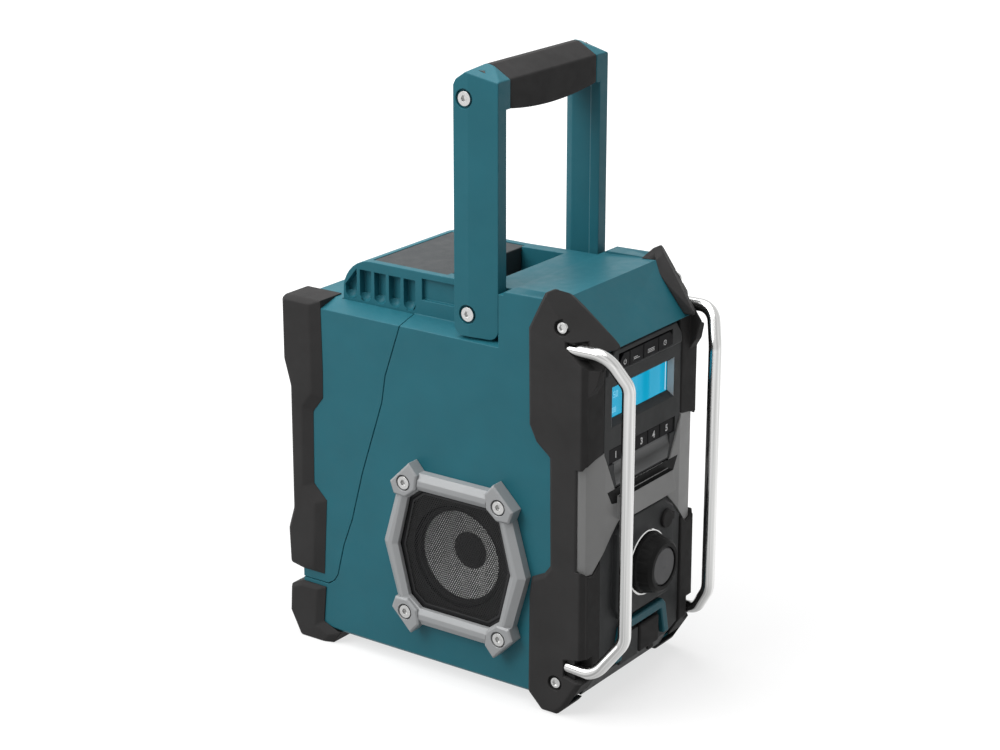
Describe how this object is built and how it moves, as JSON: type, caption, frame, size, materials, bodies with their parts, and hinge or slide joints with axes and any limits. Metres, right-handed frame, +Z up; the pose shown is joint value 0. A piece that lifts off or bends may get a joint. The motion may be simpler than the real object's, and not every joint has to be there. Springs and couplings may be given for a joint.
{
  "type": "jobsite radio",
  "caption": "Rugged upright cordless radio with side loudspeakers, front controls behind guard bars, rear battery door and a folding carry handle.",
  "frame": {"origin": "centre of the footprint on the surface that the feet stand on, with the handle upright", "axes": "-Y is the front with the control panel, +Z is up, +X is to the right for someone facing the control panel"},
  "size_m": [0.154, 0.276, 0.425],
  "materials": {
    "teal_shell": "fine moulded texture, satin",
    "black_rubber": "matt overmoulded elastomer",
    "grey_trim": "satin",
    "grey_panel": "matt, ribbed",
    "dark_plastic": "matt",
    "key_plastic": "satin with printed legends",
    "knob_rubber": "matt",
    "knob_face": "satin",
    "silver_frame": "satin silver paint",
    "grille_mesh": "black powder coat, perforated",
    "basket_steel": "black",
    "cone_paper": "pressed paper",
    "bar_chrome": "bright",
    "screw_steel": "bright zinc",
    "core_plastic": "plain",
    "display_glass": "clear window over a blue backlight",
    "display_body": "backlit",
    "circuit_board": "solder mask",
    "encoder_metal": "plain",
    "terminal_plastic": "plain"
  },
  "bodies": {
    "radio_body": {"antenna_socket": "dark_plastic", "aux_jack": "dark_plastic", "battery_bay": "dark_plastic", "battery_terminals": "terminal_plastic", "bumper_screws": "screw_steel", "cell_holder": "dark_plastic", "control_panel": "dark_plastic", "dc_socket": "dark_plastic", "door_hinge_pin": "screw_steel", "driver_left": "basket_steel", "driver_right": "basket_steel", "encoder": "encoder_metal", "frame_screws": "screw_steel", "front_bumper_left": "black_rubber", "front_bumper_right": "black_rubber", "grey_trim": "grey_trim", "guard_bar_left": "bar_chrome", "guard_bar_right": "bar_chrome", "key_board": "circuit_board", "knob_ring": "bar_chrome", "knob_surround": "dark_plastic", "lcd_lens": "display_glass", "lcd_module": "display_body", "main_board": "circuit_board", "main_housing": "teal_shell", "pivot_bolts": "screw_steel", "pivot_bushes": "screw_steel", "port_surround": "teal_shell", "rear_foot_left": "black_rubber", "rear_foot_right": "black_rubber", "speaker_frame_left": "silver_frame", "speaker_frame_right": "silver_frame", "speaker_grille_left": "grille_mesh", "speaker_grille_right": "grille_mesh", "top_panel": "grey_panel", "usb_socket": "dark_plastic"},
    "cone_left": {"cone_left": "cone_paper"},
    "cone_right": {"cone_right": "cone_paper"},
    "tuning_knob": {"tuning_knob": "knob_rubber"},
    "knob_cap": {"knob_cap": "knob_face"},
    "aux_cap": {"aux_cap": "black_rubber"},
    "port_flap": {"port_flap": "black_rubber"},
    "battery_door": {"battery_door": "teal_shell", "rear_bumper_left": "black_rubber", "rear_bumper_right": "black_rubber"},
    "door_latch": {"door_latch": "dark_plastic"},
    "handle": {"handle_arm_left": "teal_shell", "handle_arm_right": "teal_shell", "handle_grip": "black_rubber", "grip_core": "core_plastic", "grip_bolts": "screw_steel"},
    "power_key": {"power_key": "key_plastic"},
    "source_key": {"source_key": "key_plastic"},
    "menu_key": {"menu_key": "key_plastic"},
    "clock_key": {"clock_key": "key_plastic"},
    "preset_key_1": {"preset_key_1": "key_plastic"},
    "preset_key_2": {"preset_key_2": "key_plastic"},
    "preset_key_3": {"preset_key_3": "key_plastic"},
    "preset_key_4": {"preset_key_4": "key_plastic"},
    "preset_key_5": {"preset_key_5": "key_plastic"}
  },
  "joints": [
    {"name": "handle_fold", "type": "hinge", "parent": "radio_body", "child": "handle", "pos_m": [0, -0.0172, 0.2633], "axis": [-1, 0, 0], "range_deg": [0, 90]},
    {"name": "battery_door_open", "type": "hinge", "parent": "radio_body", "child": "battery_door", "pos_m": [0, 0.1305, 0.0462], "axis": [-1, 0, 0], "range_deg": [0, 90]},
    {"name": "door_latch_slide", "type": "slide", "parent": "battery_door", "child": "door_latch", "axis": [0, 0, -1], "range_m": [0, 0.003], "stiffness_N_per_m": 400, "springref_m": -0.002},
    {"name": "tuning_turn", "type": "hinge", "parent": "radio_body", "child": "tuning_knob", "pos_m": [0, -0.12, 0.0925], "axis": [0, -1, 0], "continuous": true},
    {"name": "knob_press", "type": "slide", "parent": "tuning_knob", "child": "knob_cap", "axis": [0, 1, 0], "range_m": [0, 0.0008], "stiffness_N_per_m": 800},
    {"name": "aux_cap_open", "type": "hinge", "parent": "radio_body", "child": "aux_cap", "pos_m": [0.0319, -0.1176, 0.116], "axis": [0, 0, 1], "range_deg": [0, 105]},
    {"name": "port_flap_open", "type": "hinge", "parent": "radio_body", "child": "port_flap", "pos_m": [0.00825, -0.1135, 0.0453], "axis": [-1, 0, 0], "range_deg": [0, 90]},
    {"name": "cone_left_stroke", "type": "slide", "parent": "radio_body", "child": "cone_left", "axis": [1, 0, 0], "range_m": [-0.001, 0.001], "stiffness_N_per_m": 2000},
    {"name": "cone_right_stroke", "type": "slide", "parent": "radio_body", "child": "cone_right", "axis": [1, 0, 0], "range_m": [-0.001, 0.001], "stiffness_N_per_m": 2000},
    {"name": "power_key_press", "type": "slide", "parent": "radio_body", "child": "power_key", "axis": [0, 1, 0], "range_m": [0, 0.0008], "stiffness_N_per_m": 600},
    {"name": "source_key_press", "type": "slide", "parent": "radio_body", "child": "source_key", "axis": [0, 1, 0], "range_m": [0, 0.0008], "stiffness_N_per_m": 600},
    {"name": "menu_key_press", "type": "slide", "parent": "radio_body", "child": "menu_key", "axis": [0, 1, 0], "range_m": [0, 0.0008], "stiffness_N_per_m": 600},
    {"name": "clock_key_press", "type": "slide", "parent": "radio_body", "child": "clock_key", "axis": [0, 1, 0], "range_m": [0, 0.0008], "stiffness_N_per_m": 600},
    {"name": "preset_key_1_press", "type": "slide", "parent": "radio_body", "child": "preset_key_1", "axis": [0, 1, 0], "range_m": [0, 0.0008], "stiffness_N_per_m": 600},
    {"name": "preset_key_2_press", "type": "slide", "parent": "radio_body", "child": "preset_key_2", "axis": [0, 1, 0], "range_m": [0, 0.0008], "stiffness_N_per_m": 600},
    {"name": "preset_key_3_press", "type": "slide", "parent": "radio_body", "child": "preset_key_3", "axis": [0, 1, 0], "range_m": [0, 0.0008], "stiffness_N_per_m": 600},
    {"name": "preset_key_4_press", "type": "slide", "parent": "radio_body", "child": "preset_key_4", "axis": [0, 1, 0], "range_m": [0, 0.0008], "stiffness_N_per_m": 600},
    {"name": "preset_key_5_press", "type": "slide", "parent": "radio_body", "child": "preset_key_5", "axis": [0, 1, 0], "range_m": [0, 0.0008], "stiffness_N_per_m": 600}
  ]
}
